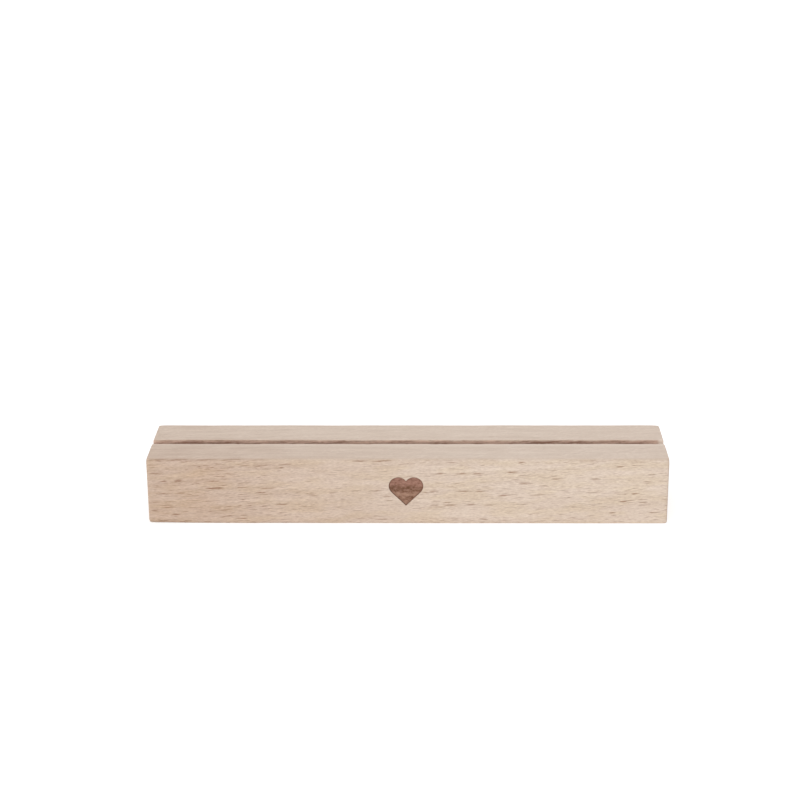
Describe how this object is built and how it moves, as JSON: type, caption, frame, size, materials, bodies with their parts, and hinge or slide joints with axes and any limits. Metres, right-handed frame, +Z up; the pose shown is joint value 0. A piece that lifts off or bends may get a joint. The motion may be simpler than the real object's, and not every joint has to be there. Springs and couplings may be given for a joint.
{
  "type": "wooden photo block holder",
  "caption": "Low rectangular beech bar with a narrow slot sawn along its top, open at both ends, to stand a photo card or thin board in, and a small burned heart on its front face.",
  "frame": {"origin": "middle of the bar's footprint, on the surface that it rests on", "axes": "+X along the bar, to the right seen from the front; -Y is the front with the heart; +Z up, the way a card leaves the slot"},
  "size_m": [0.15, 0.028, 0.02],
  "materials": {
    "beech": "bare sanded",
    "charred_beech": "burned matt"
  },
  "bodies": {
    "root": {"beech_block": "beech", "burned_heart": "charred_beech"}
  },
  "joints": []
}
